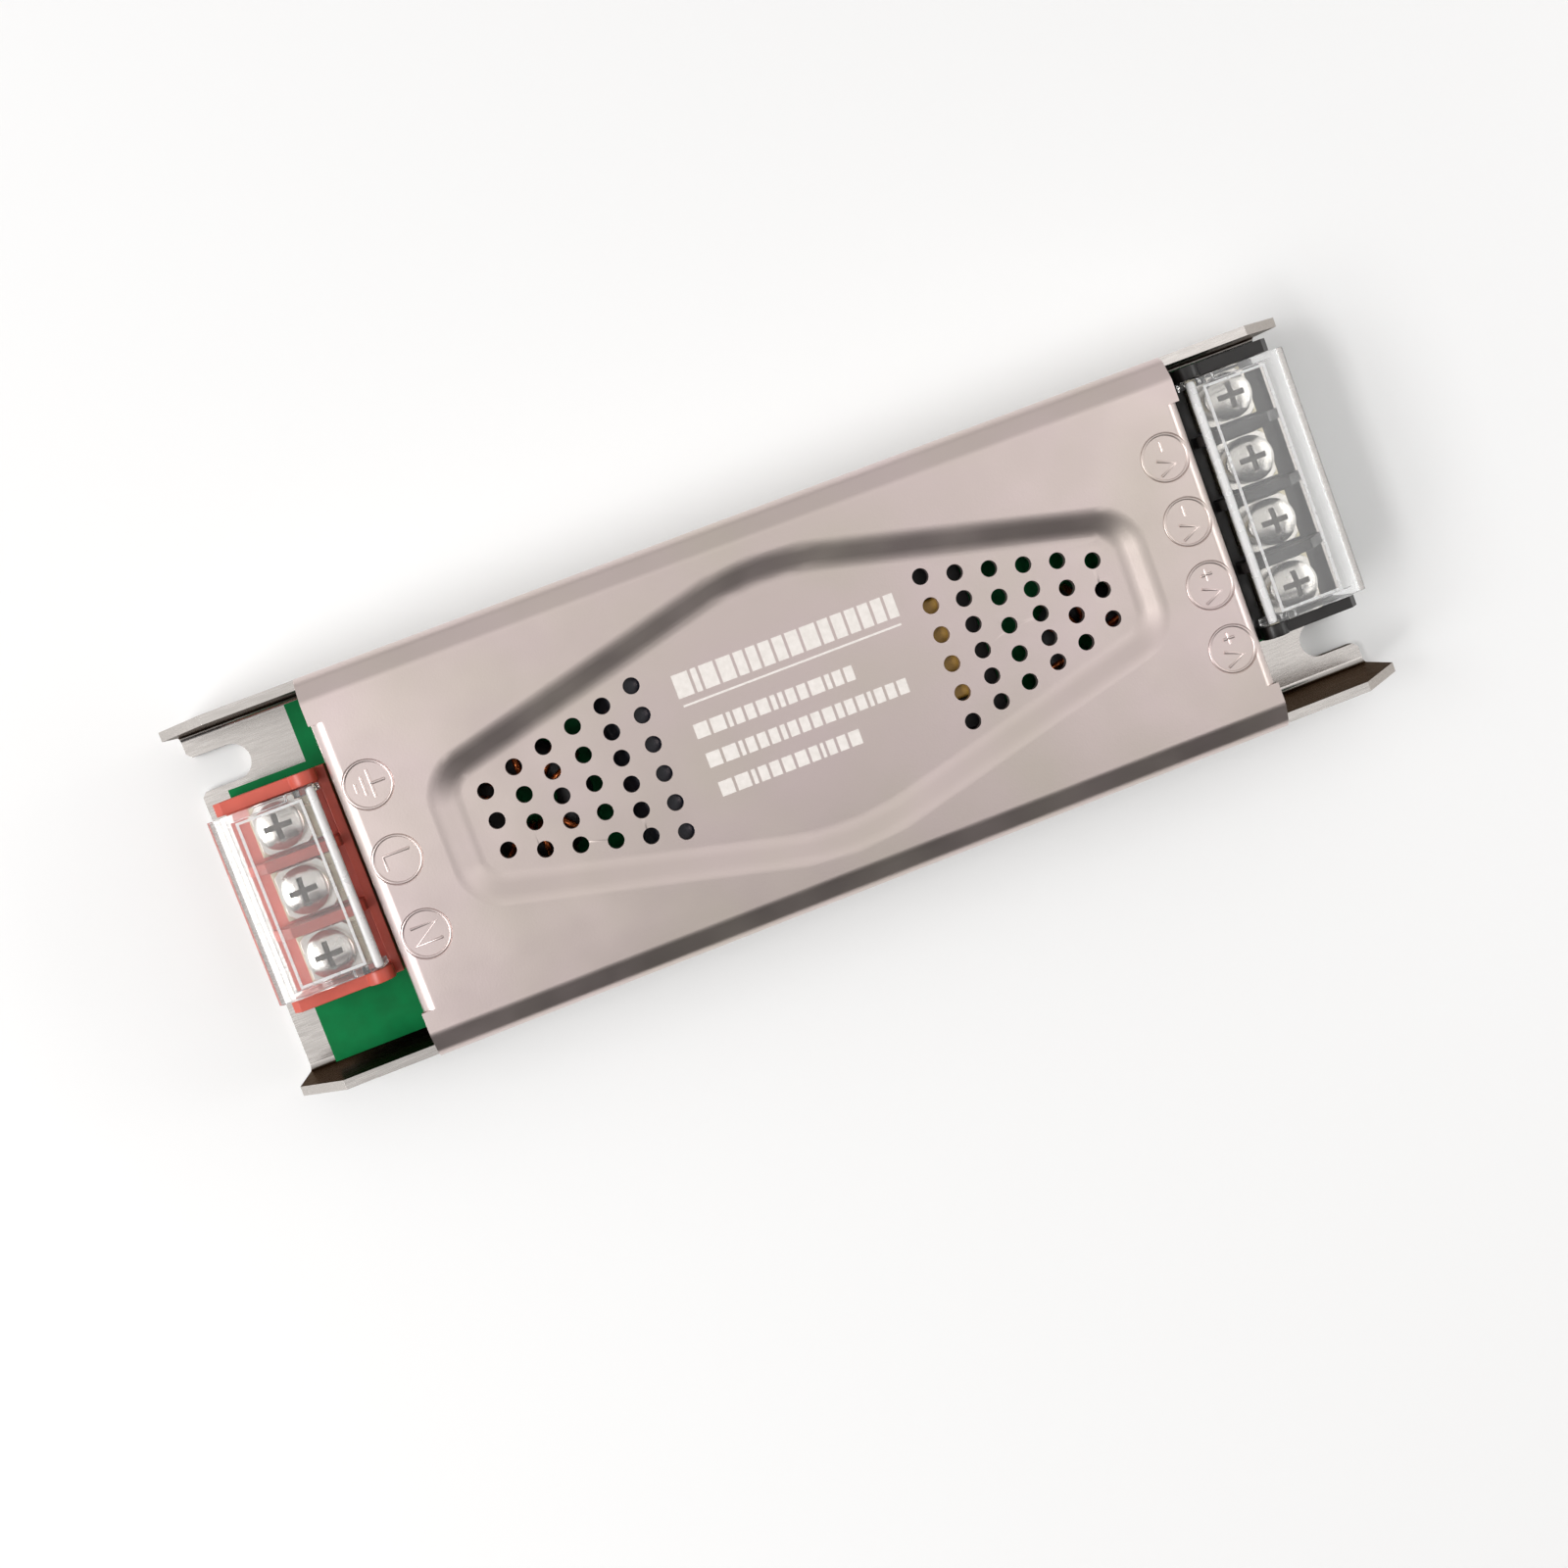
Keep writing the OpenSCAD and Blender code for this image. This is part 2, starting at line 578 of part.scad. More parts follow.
module terminal_screw(n, i) translate([-terminal_x, way_y(n, i), clamp_top]) difference() {
    union() {
        rotate_extrude() intersection() {
            translate([0, -4.3]) circle(4.3 + terminal_head_height);
            square([terminal_head / 2, terminal_head_height]);
        }
        translate([0, 0, board_top + 0.5 - clamp_top])
            cylinder(d = terminal_thread, h = clamp_top - board_top - 0.5 + e);
    }
    translate([0, 0, terminal_head_height]) cross_recess(3.4, 0.7, 1.2);
}

// Clear flip cover with its lugs and pivot pins
module flip_cover(n) {
    long = block_length(n);
    plate = long - 2 * (end_wall + flip_gap);
    pin_start = plate / 2 - lug_sheet / 2;
    skirt_z = barrier_top + 0.7;
    along_y(plate) polygon([[-pivot_x + 1.2, flip_under], [-pivot_x + 1.2, flip_under + 0.3],
        [-pivot_x - 0.6, flip_top], [-flip_front + 2.8, flip_top], [-flip_front + 0.5, flip_top - 0.8],
        [-flip_front, flip_top - 1.4], [-flip_front, barrier_top + 0.1],
        [-flip_front + flip_sheet, barrier_top + 0.1], [-flip_front + flip_sheet, flip_top - 1.8],
        [-flip_front + 3.1, flip_under]]);
    for (s = [-1, 1]) {
        along_y(lug_sheet, s * (plate - lug_sheet) / 2) union() {
            polygon([[-flip_front + 0.4, skirt_z], [-pivot_x - 2.6, skirt_z],
                [-pivot_x - 2.2, flip_under + e], [-flip_front + 3.1, flip_under + e],
                [-flip_front + 0.4, flip_top - 1.7]]);
            translate([-pivot_x, pivot_z]) circle(1.4);
            translate([-pivot_x - 1.4, pivot_z]) square([2.4, flip_under + e - pivot_z]);
        }
        translate([-pivot_x, s * (pin_start + long / 2) / 2, pivot_z]) rotate([90, 0, 0])
            cylinder(d = pivot_pin, h = long / 2 - pin_start, center = true);
    }
}

module input_block() color("firebrick") at_input() terminal_block(input_ways);
module output_block() color("dimgray") at_output() terminal_block(output_ways);
module input_contacts() color("khaki") at_input() contact_strips(input_ways);
module output_contacts() color("khaki") at_output() contact_strips(output_ways);
module input_cover() color("lightblue") at_input() flip_cover(input_ways);
module output_cover() color("lightblue") at_output() flip_cover(output_ways);
module input_clamp(i) color("lightgray") at_input() clamp(input_ways, i);
module output_clamp(i) color("lightgray") at_output() clamp(output_ways, i);
module input_screw(i) color("white") at_input() terminal_screw(input_ways, i);
module output_screw(i) color("white") at_output() terminal_screw(output_ways, i);

// Inner parts

module fuse() color("saddlebrown") {
    translate([fuse_at.x, fuse_at.y, board_top]) cylinder(r = fuse_radius, h = part_room - 2.2);
    leads(fuse_leads);
}

// Coated disc on two leads, its flat side facing Y
module disc_part(at, places, r, t) {
    translate([at.x, at.y, board_top + r + 0.4]) rotate([90, 0, 0]) cylinder(r = r, h = t, center = true);
    leads(places, board_top + r * 0.6);
}
module varistor() color("royalblue") disc_part(varistor_at, varistor_leads, part_room / 2 - 0.4, 3.4);
module thermistor() color("darkgreen") disc_part(thermistor_at, thermistor_leads, part_room / 2 - 0.7, 4);
module safety_capacitor() color("steelblue") disc_part(safety_at, safety_leads, part_room / 2 - 1, 3);

module film_capacitor() color("gold") {
    on_board(film_at, [film_length, film_width, part_room - 0.8]);
    leads(film_leads);
}

// Ring core lying flat and its wire turns
module ring_core(at, radius, section) translate([at.x, at.y, board_top + section + 0.8])
    rotate_extrude() translate([radius, 0]) circle(section);
module ring_coil(at, radius, section, angles) translate([at.x, at.y, board_top + section + 0.8])
    for (a = angles) rotate(a) translate([radius, 0, 0]) rotate([90, 0, 0])
        rotate_extrude() translate([section + wire_radius + e, 0]) circle(wire_radius, $fn = 24);
module filter_core() color("darkslategray") ring_core(filter_at, filter_radius, filter_section);
module filter_coil() color("peru") ring_coil(filter_at, filter_radius, filter_section,
    [for (s = [0, 180], k = [-3 : 3]) 90 + s + 21 * k]);
module choke_core() color("olive") ring_core(choke_at, choke_radius, choke_section);
module choke_coil() color("peru") ring_coil(choke_at, choke_radius, choke_section,
    [for (k = [0 : 14]) 24 * k]);

module bridge_rectifier() color("#222222") {
    on_board(bridge_at, [bridge_length, bridge_width, part_room - 0.8]);
    leads(bridge_leads);
}

// Lying electrolytic cans, leads bent down through the board
module bulk_capacitors() color("midnightblue") {
    for (p = bulk_at) translate([p.x, p.y, board_top + bulk_radius]) rotate([-90, 0, 0]) {
        cylinder(r = bulk_radius, h = bulk_length);
        for (s = [-1, 1]) translate([1.25 * s, 0, bulk_length - 1]) cylinder(r = lead_radius, h = 3);
    }
    leads(bulk_leads, board_top + bulk_radius + lead_radius);
}

module output_capacitors() color("darkslateblue") {
    for (p = output_can_at) translate([p.x, p.y, board_top])
        cylinder(r = output_can_radius, h = part_room - 0.6);
    leads(can_leads);
}

// Flat transistor package: metal tab under a moulded body
module power_package(at, a) translate([at.x, at.y, board_top]) rotate(a) {
    translate([-package_width / 2, -package_tab / 2, 0]) cube([package_width, package_tab, 1.3]);
    translate([-package_width / 2, -package_tab / 2, 0])
        cube([package_width, package_length, package_height]);
    for (i = [-1 : 1]) translate([2.54 * i - 0.4, -package_tab / 2 - 2.8, 0]) cube([0.8, 3, 0.5]);
}
module switching_transistor() color("#333333") power_package(transistor_at, 90);
module output_rectifier() color("#333333") power_package(rectifier_at, -90);

// Transformer: centre leg along Y, bobbin over the leg, winding on the bobbin
module at_transformer() translate([transformer_at.x, transformer_at.y, board_top + part_room / 2]) children();
bobbin_x = core_leg + 2 * bobbin_wall;
bobbin_z = core_height + 2 * bobbin_wall + 0.2;
bobbin_y = core_window_length - 0.2;
bar_start = bobbin_y / 2 - bobbin_wall;
bar_width = core_side / 2 + 2.7 - bar_start;
module transformer_core() color("dimgray") at_transformer() difference() {
    cube([core_side, core_side, core_height], center = true);
    for (s = [-1, 1]) translate([s * (core_leg + core_window) / 2, 0, 0])
        cube([core_window, core_window_length, core_height + 2], center = true);
}
module transformer_bobbin() color("black") {
    at_transformer() difference() {
        union() {
            cube([bobbin_x, bobbin_y, bobbin_z], center = true);
            for (s = [-1, 1]) translate([0, s * (bobbin_y - bobbin_wall) / 2, 0])
                cube([core_leg + 2 * core_window - 1, bobbin_wall, part_room - 0.4], center = true);
            for (a = [0, 180]) rotate(a) translate([-7.6, bar_start, -part_room / 2])
                cube([15.2, bar_width, core_cover - 0.3]);
        }
        cube([core_leg + 2 * fix_fit, core_side + 10, core_height + 2 * fix_fit], center = true);
    }
    leads(bobbin_leads, board_top + 1);
}
module transformer_winding() color("goldenrod") at_transformer() difference() {
    cube([core_leg + 2 * core_window - 2.2, bobbin_y - 2 * bobbin_wall - 0.1, part_room - 0.6],
        center = true);
    cube([bobbin_x + 2 * e, bobbin_y, bobbin_z + 2 * e], center = true);
}

module optocoupler() color("#222222") chip_package(opto_at, [6.5, 4.6, 3.4], 2, 2.54);
module control_chip() color("#222222") chip_package(chip_at, [4, 5, 1.6], 4, 1.27);

// Moulded chip with gull-wing feet on two sides
module chip_package(at, size, feet, step) translate([at.x, at.y, board_top]) {
    translate([-size.x / 2, -size.y / 2, 0.1]) cube(size);
    for (s = [-1, 1], i = [0 : feet - 1])
        translate([s * (size.x / 2 + 0.4), (i - (feet - 1) / 2) * step, 0.3])
            cube([1.4, 0.45, 0.6], center = true);
}

base_tray();
top_cover();
cover_screws();
insulation_sheet();
board_posts();
circuit_board();
board_screws();
input_block();
output_block();
input_contacts();
output_contacts();
input_cover();
output_cover();
input_clamp(0);  // input_clamp_1
input_clamp(1);  // input_clamp_2
input_clamp(2);  // input_clamp_3
output_clamp(0);  // output_clamp_1
output_clamp(1);  // output_clamp_2
output_clamp(2);  // output_clamp_3
output_clamp(3);  // output_clamp_4
input_screw(0);  // input_screw_1
input_screw(1);  // input_screw_2
input_screw(2);  // input_screw_3
output_screw(0);  // output_screw_1
output_screw(1);  // output_screw_2
output_screw(2);  // output_screw_3
output_screw(3);  // output_screw_4
fuse();
varistor();
thermistor();
film_capacitor();
filter_core();
filter_coil();
bridge_rectifier();
bulk_capacitors();
switching_transistor();
transformer_core();
transformer_bobbin();
transformer_winding();
safety_capacitor();
optocoupler();
control_chip();
output_rectifier();
choke_core();
choke_coil();
output_capacitors();
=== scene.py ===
"""Looks of the LED power supply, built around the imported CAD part.

Metres, +Z up, +X towards the output end, -Y towards the near side of the photo.
Values in millimetres are multiplied by MM where they are used.
"""
import json
import math

import bmesh
import bpy
from mathutils import Matrix, Vector


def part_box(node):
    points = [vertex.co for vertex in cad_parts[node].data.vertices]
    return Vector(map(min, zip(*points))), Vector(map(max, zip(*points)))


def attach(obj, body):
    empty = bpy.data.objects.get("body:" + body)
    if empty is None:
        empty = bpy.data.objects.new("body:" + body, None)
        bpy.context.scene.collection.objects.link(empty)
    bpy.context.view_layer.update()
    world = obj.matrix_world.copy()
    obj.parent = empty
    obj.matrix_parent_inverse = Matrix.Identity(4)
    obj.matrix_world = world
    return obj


MM = 0.001

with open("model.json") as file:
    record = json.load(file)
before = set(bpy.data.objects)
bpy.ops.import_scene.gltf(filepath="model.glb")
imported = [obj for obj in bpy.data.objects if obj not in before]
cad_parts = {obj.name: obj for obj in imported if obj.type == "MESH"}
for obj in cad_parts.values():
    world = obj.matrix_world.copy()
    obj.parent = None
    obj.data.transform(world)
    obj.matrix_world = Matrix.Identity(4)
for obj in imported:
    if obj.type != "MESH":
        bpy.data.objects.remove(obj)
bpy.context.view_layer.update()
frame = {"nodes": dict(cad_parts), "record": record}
nodes = frame["nodes"]

TOP_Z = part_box("top_cover")[1][2]
ENDS = (("input", -1), ("output", 1))  # each end, and the side of X where its wires go in


# ---- Tools for materials ----

WHITE = (1, 1, 1, 1)
EVEN = (1, 1, 1)  # noise the same in all directions
ALONG = (1, 14, 14)  # noise drawn out into lines along the case
NOISE_SPAN = (0.3, 0.7)  # most of the noise lies in this span
PATCH_DETAIL = 2
GRAIN_DETAIL = 3
GRAIN_HEIGHT = 0.05 * MM
WALL_SHADE_SPAN = (0.6, 0.9)  # shares of the wall's distance where the painted shade starts and is full

FINISHES = {}  # every material by name; for a CAD node that is the name of its slot


def srgb(red, green, blue):
    """Linear colour of an 8-bit sRGB triple."""
    def linear(channel):
        share = channel / 255
        return share / 12.92 if share <= 0.04045 else ((share + 0.055) / 1.055) ** 2.4
    return (linear(red), linear(green), linear(blue), 1.0)


def shader(name, colour, rough, metal=0.0, **sockets):
    """Principled material; other sockets are given by name, with _ for each space."""
    mat = bpy.data.materials.new(name)
    mat.use_nodes = True
    inputs = mat.node_tree.nodes["Principled BSDF"].inputs
    inputs["Base Color"].default_value = colour
    inputs["Roughness"].default_value = rough
    inputs["Metallic"].default_value = metal
    for socket, value in sockets.items():
        inputs[socket.replace("_", " ")].default_value = value
    return mat


def noise_field(tree, scale, detail, stretch):
    """Noise in the object's own space."""
    coords = tree.nodes.new("ShaderNodeTexCoord")
    mapping = tree.nodes.new("ShaderNodeMapping")
    mapping.inputs["Scale"].default_value = stretch
    noise = tree.nodes.new("ShaderNodeTexNoise")
    noise.inputs["Scale"].default_value = scale
    noise.inputs["Detail"].default_value = detail
    tree.links.new(coords.outputs["Object"], mapping.inputs["Vector"])
    tree.links.new(mapping.outputs["Vector"], noise.inputs["Vector"])
    return noise.outputs["Fac"]


def map_range(tree, value, from_span, to_span=(0.0, 1.0)):
    """Maps one span of a value to another, cut off at its ends."""
    node = tree.nodes.new("ShaderNodeMapRange")
    for words, span in (("From", from_span), ("To", to_span)):
        node.inputs[words + " Min"].default_value = span[0]
        node.inputs[words + " Max"].default_value = span[1]
    tree.links.new(value, node.inputs["Value"])
    return node.outputs["Result"]


def add_grain(mat, scale, strength, stretch):
    """Fine surface grain as a bump."""
    tree = mat.node_tree
    bump = tree.nodes.new("ShaderNodeBump")
    bump.inputs["Strength"].default_value = strength
    bump.inputs["Distance"].default_value = GRAIN_HEIGHT
    tree.links.new(noise_field(tree, scale, GRAIN_DETAIL, stretch), bump.inputs["Height"])
    tree.links.new(bump.outputs["Normal"], tree.nodes["Principled BSDF"].inputs["Normal"])


def vary_gloss(mat, scale, change, stretch):
    """Roughness that wanders by change either side of the material's own."""
    tree = mat.node_tree
    rough = tree.nodes["Principled BSDF"].inputs["Roughness"]
    span = (rough.default_value - change, rough.default_value + change)
    field = noise_field(tree, scale, PATCH_DETAIL, stretch)
    tree.links.new(map_range(tree, field, NOISE_SPAN, span), rough)


def blend_colour(mat, colour, factor):
    """Lays a second colour over the base colour where factor is 1."""
    tree = mat.node_tree
    base = tree.nodes["Principled BSDF"].inputs["Base Color"]
    blend = tree.nodes.new("ShaderNodeMix")
    blend.data_type = "RGBA"
    under, over = [socket for socket in blend.inputs if socket.type == "RGBA"]
    under.default_value = base.default_value
    over.default_value = colour
    if base.is_linked:
        tree.links.new(base.links[0].from_socket, under)
    tree.links.new(factor, blend.inputs["Factor"])
    tree.links.new([socket for socket in blend.outputs if socket.type == "RGBA"][0], base)


def mottle(mat, colour, scale, stretch):
    """Soft patches of a second colour."""
    tree = mat.node_tree
    field = noise_field(tree, scale, PATCH_DETAIL, stretch)
    blend_colour(mat, colour, map_range(tree, field, NOISE_SPAN))


def finish(name, colour, rough, metal=0.0, patches=None, gloss=None, grain=None, stretch=EVEN, **sockets):
    """Material with surface detail, kept in FINISHES.

    patches is (second colour, scale), gloss is (scale, change) and grain is (scale, strength).
    """
    mat = shader(name, colour, rough, metal, **sockets)
    if patches:
        mottle(mat, *patches, stretch)
    if gloss:
        vary_gloss(mat, *gloss, stretch)
    if grain:
        add_grain(mat, *grain, stretch)
    FINISHES[name] = mat
    return mat


def paint_inner_wall_shade(mat, colour, distance):
    """Paints shade on faces that look in to the middle line from about distance away, as a dark colour laid
    in their base colour.

    The Y of such a face's normal times its own Y comes close to minus distance.
    """
    tree = mat.node_tree
    coords = tree.nodes.new("ShaderNodeTexCoord")
    normal = tree.nodes.new("ShaderNodeSeparateXYZ")
    place = tree.nodes.new("ShaderNodeSeparateXYZ")
    inward = tree.nodes.new("ShaderNodeMath")
    inward.operation = "MULTIPLY"
    tree.links.new(coords.outputs["Normal"], normal.inputs["Vector"])
    tree.links.new(coords.outputs["Object"], place.inputs["Vector"])
    tree.links.new(normal.outputs["Y"], inward.inputs[0])
    tree.links.new(place.outputs["Y"], inward.inputs[1])
    span = [-share * distance for share in WALL_SHADE_SPAN]
    blend_colour(mat, colour, map_range(tree, inward.outputs["Value"], span))


# ---- Materials ----

# Blasted aluminium cover, pink and beige in soft patches
cover_metal = finish("cover_metal", srgb(217, 201, 199), 0.36, 0.95,
                     patches=(srgb(211, 199, 191), 75), gloss=(140, 0.03), grain=(4000, 0.14))

# Brushed tray sheet; the dark tint takes the glare off walls seen edge-on, and the inner faces of the walls
# get painted shade
TRAY_WALL_Y = 22 * MM
tray_metal = finish("tray_metal", srgb(209, 204, 200), 0.26, 1.0,
                    patches=(srgb(200, 195, 191), 260), gloss=(420, 0.04), grain=(900, 0.10),
                    stretch=ALONG, Specular_Tint=srgb(152, 142, 132))
# Painted shade: dark brown laid on the inner faces of the tray's walls
paint_inner_wall_shade(tray_metal, srgb(84, 74, 64), TRAY_WALL_Y)

# Plated and bare metals
METAL_DETAIL = {"gloss": (900, 0.06), "grain": (2600, 0.12)}
finish("screw_steel", srgb(205, 205, 205), 0.28, 1.0, **METAL_DETAIL)
finish("contact_brass", srgb(205, 196, 170), 0.30, 1.0, **METAL_DETAIL)
finish("clamp_nickel", srgb(236, 233, 228), 0.22, 1.0, patches=(srgb(226, 222, 215), 500), **METAL_DETAIL)
# Painted shade: a dark material for the plates down in the screws' cross recesses
recess_shade = finish("recess_shade", srgb(92, 86, 80), 0.6, 0.6,
                      patches=(srgb(74, 67, 60), 1500), gloss=(1500, 0.08))

# Moulded plastics
MOULD_DETAIL = {"gloss": (450, 0.06), "grain": (2500, 0.12)}
finish("red_plastic", srgb(203, 88, 71), 0.36, patches=(srgb(192, 80, 63), 300), **MOULD_DETAIL)
finish("black_plastic", srgb(29, 26, 25), 0.36, patches=(srgb(22, 20, 19), 300), **MOULD_DETAIL)

# Clear covers, and the ridges and beads on them; the beads' white is a painted highlight
CLEAR_IOR = 1.46
finish("clear_plastic", WHITE, 0.06, gloss=(260, 0.025), grain=(320, 0.20),
       Transmission_Weight=0.92, IOR=CLEAR_IOR)
frosted_ridge = finish("frosted_ridge", WHITE, 0.3, gloss=(600, 0.06),
                       Transmission_Weight=0.45, IOR=CLEAR_IOR)
# Painted highlight: the bead's material is a nearly opaque white so that it shows as a bright band
white_bead_highlight = finish("white_bead_highlight", WHITE, 0.26, gloss=(600, 0.05),
                    Transmission_Weight=0.28, IOR=CLEAR_IOR)

# Lacquered board, insulation film and screen print
finish("board_green", srgb(0, 124, 66), 0.35, Specular_IOR_Level=0.12,
       patches=(srgb(2, 111, 58), 420), gloss=(350, 0.06), grain=(1800, 0.08))
finish("film_plastic", srgb(225, 222, 210), 0.5, patches=(srgb(217, 213, 199), 260), gloss=(200, 0.06))
white_print = finish("white_print", srgb(236, 230, 225), 0.6,
                     patches=(srgb(227, 221, 215), 1400), grain=(5000, 0.10))

# Parts on the board: colour, darker patches, roughness, metallic
BOARD_PARTS = {
    "fuse_brown": ((96, 51, 30), (84, 43, 25), 0.40, 0.0),
    "disc_blue": ((42, 78, 154), (33, 68, 142), 0.35, 0.0),
    "disc_green": ((37, 88, 55), (30, 79, 48), 0.40, 0.0),
    "film_yellow": ((218, 176, 64), (208, 166, 55), 0.35, 0.0),
    "ferrite_dark": ((55, 55, 57), (48, 48, 50), 0.55, 0.0),
    "coil_copper": ((188, 103, 56), (178, 95, 50), 0.30, 0.9),
    "moulding_black": ((32, 32, 33), (27, 27, 28), 0.50, 0.0),
    "can_sleeve": ((28, 30, 42), (24, 26, 38), 0.40, 0.0),
    "tape_yellow": ((173, 137, 62), (162, 126, 53), 0.45, 0.0),
}
BOARD_PART_PATCHES = 700
BOARD_PART_DETAIL = {"gloss": (900, 0.06), "grain": (2500, 0.10)}
for part_slot, (main, darker, part_rough, part_metal) in BOARD_PARTS.items():
    finish(part_slot, srgb(*main), part_rough, part_metal,
           patches=(srgb(*darker), BOARD_PART_PATCHES), **BOARD_PART_DETAIL)

for subpart in frame["record"]["subparts"]:
    node_slots = nodes[subpart["node"]].data.materials
    node_slots.clear()
    node_slots.append(FINISHES[subpart["material_slot"]])


# ---- Softened edges of the CAD nodes ----

SHARP_ANGLE = 32  # degrees; edges sharper than this are rounded
FOLD_ANGLE = 25  # the same on the top cover, whose folds are flatter
FLAT_ANGLE = 0.5  # degrees; faces that meet flatter than this are merged
WELD_GAP = 0.001 * MM
NORMAL_WEIGHT = 90
COVER_EDGE = 0.1

# Width of the rounding in millimetres, finely rounded on what shows most
FINE_EDGES = {
    "input_block": 0.2, "output_block": 0.2, "input_cover": 0.25, "output_cover": 0.25, "base_tray": 0.15,
    **{name: 0.12 for name in nodes if "_clamp_" in name},
    **{name: 0.08 for name in nodes if "_screw_" in name},
}
FINE_SEGMENTS = 3
PLAIN_EDGES = {
    "fuse": 0.4, "varistor": 0.7, "thermistor": 0.7, "safety_capacitor": 0.6, "film_capacitor": 0.5,
    "bridge_rectifier": 0.3, "bulk_capacitors": 0.5, "output_capacitors": 0.4, "transformer_core": 0.3,
    "transformer_winding": 0.5, "transformer_bobbin": 0.12, "switching_transistor": 0.12,
    "output_rectifier": 0.12, "optocoupler": 0.1, "control_chip": 0.08, "circuit_board": 0.06,
    "cover_screws": 0.06, "board_screws": 0.2, "input_contacts": 0.08, "output_contacts": 0.08,
}
PLAIN_SEGMENTS = 2


def soften(name, width, segments, angle=SHARP_ANGLE):
    """Rounds a CAD node's sharp edges with modifiers; its mesh stays as it is."""
    modifiers = nodes[name].modifiers
    modifiers.new("weld", "WELD").merge_threshold = WELD_GAP
    flats = modifiers.new("merge_flats", "DECIMATE")
    flats.decimate_type = "DISSOLVE"
    flats.angle_limit = math.radians(FLAT_ANGLE)
    bevel = modifiers.new("soft_edges", "BEVEL")
    bevel.width = width * MM
    bevel.segments = segments
    bevel.limit_method = "ANGLE"
    bevel.angle_limit = math.radians(angle)
    bevel.face_strength_mode = "FSTR_ALL"
    normals = modifiers.new("normals", "WEIGHTED_NORMAL")
    normals.use_face_influence = True
    normals.weight = NORMAL_WEIGHT


for node_name, edge_width in FINE_EDGES.items():
    soften(node_name, edge_width, FINE_SEGMENTS)
for node_name, edge_width in PLAIN_EDGES.items():
    soften(node_name, edge_width, PLAIN_SEGMENTS)
soften("top_cover", COVER_EDGE, PLAIN_SEGMENTS, FOLD_ANGLE)


# ---- Tools for pieces ----

def add_object(name, data):
    obj = bpy.data.objects.new(name, data)
    bpy.context.collection.objects.link(obj)
    return obj


def add_piece(name, mesh, mat, body):
    """Makes a mesh a piece that rides on a body."""
    obj = add_object(name, mesh)
    mesh.materials.clear()
    mesh.materials.append(mat)
    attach(obj, body)


def bmesh_piece(name, bm, mat, body):
    """Turns a bmesh into a piece that rides on a body."""
    mesh = bpy.data.meshes.new(name)
    bm.normal_update()
    bm.to_mesh(mesh)
    bm.free()
    add_piece(name, mesh, mat, body)


# ---- Signs pressed in the cover's rings ----

RING_X = 50.7 * MM
RING_DEPTH = 0.20 * MM
RING_RADIUS = 2.8
RING_POINTS = 48
STROKE_RADIUS = 0.20 * MM
STROKE_ROUNDING = 3
STROKE_SINK = 0.05 * MM

# A sign is a list of lines, and a line a list of (right, up) points in millimetres
EARTH = [
    [(0, 2.0), (0, 0.3)],
    [(-1.7, 0.3), (1.7, 0.3)],
    [(-1.15, -0.6), (1.15, -0.6)],
    [(-0.55, -1.5), (0.55, -1.5)],
]
LIVE = [[(-0.8, 1.7), (-0.8, -1.5), (1.0, -1.5)]]
NEUTRAL = [[(-1.05, -1.6), (-1.05, 1.6), (1.05, -1.6), (1.05, 1.6)]]
VEE = [(-2.0, 1.1), (-1.05, -1.2), (-0.1, 1.1)]
MINUS = [VEE, [(0.75, 0), (2.0, 0)]]
PLUS = [VEE, [(0.65, 0), (2.05, 0)], [(1.35, 0.7), (1.35, -0.7)]]
RING_TURNS = [math.tau * k / RING_POINTS for k in range(RING_POINTS)]
RING = [(RING_RADIUS * math.sin(turn), RING_RADIUS * math.cos(turn)) for turn in RING_TURNS]

# Step from ring to ring, and the signs from the far side to the near
SIGNS = {
    "input": (9.3 * MM, (("earth", EARTH), ("live", LIVE), ("neutral", NEUTRAL))),
    "output": (8.1 * MM, (("minus_1", MINUS), ("minus_2", MINUS), ("plus_1", PLUS), ("plus_2", PLUS))),
}


def sign_mesh(name, lines, place, right_axis, up_axis):
    """Low ridges along the lines of a sign and its ring."""
    curve = bpy.data.curves.new(name, "CURVE")
    curve.dimensions = "3D"
    curve.bevel_depth = STROKE_RADIUS
    curve.bevel_resolution = STROKE_ROUNDING
    curve.use_fill_caps = True
    for line in (*lines, RING):
        spline = curve.splines.new("POLY")
        spline.use_cyclic_u = line is RING
        spline.points.add(len(line) - 1)
        for point, (right, up) in zip(spline.points, line):
            point.co = (*(place + (right_axis * right + up_axis * up) * MM), 1)
    source = add_object(name + "_curve", curve)
    bpy.context.view_layer.update()
    depsgraph = bpy.context.evaluated_depsgraph_get()
    mesh = bpy.data.meshes.new_from_object(source.evaluated_get(depsgraph))
    bpy.data.objects.remove(source)
    bpy.data.curves.remove(curve)
    for polygon in mesh.polygons:
        polygon.use_smooth = True
    return mesh


def add_signs(end, wire_side):
    """Row of signs at one end, each with its top towards the middle of the case."""
    step, signs = SIGNS[end]
    middle = (len(signs) - 1) / 2
    for i, (label, lines) in enumerate(signs):
        place = Vector((wire_side * RING_X, (middle - i) * step, TOP_Z - RING_DEPTH - STROKE_SINK))
        mesh = sign_mesh("sign_" + label, lines, place, Vector((0, wire_side, 0)), Vector((-wire_side, 0, 0)))
        add_piece("sign_" + label, mesh, cover_metal, "case")


for end_name, end_side in ENDS:
    add_signs(end_name, end_side)


# ---- Painted shade in the cross recesses of the terminal screws ----

CROSS_LENGTH = 3.2 * MM
CROSS_WIDTH = 0.62 * MM
CROSS_DEPTH = 0.42 * MM
CROSS_THICK = 0.1 * MM


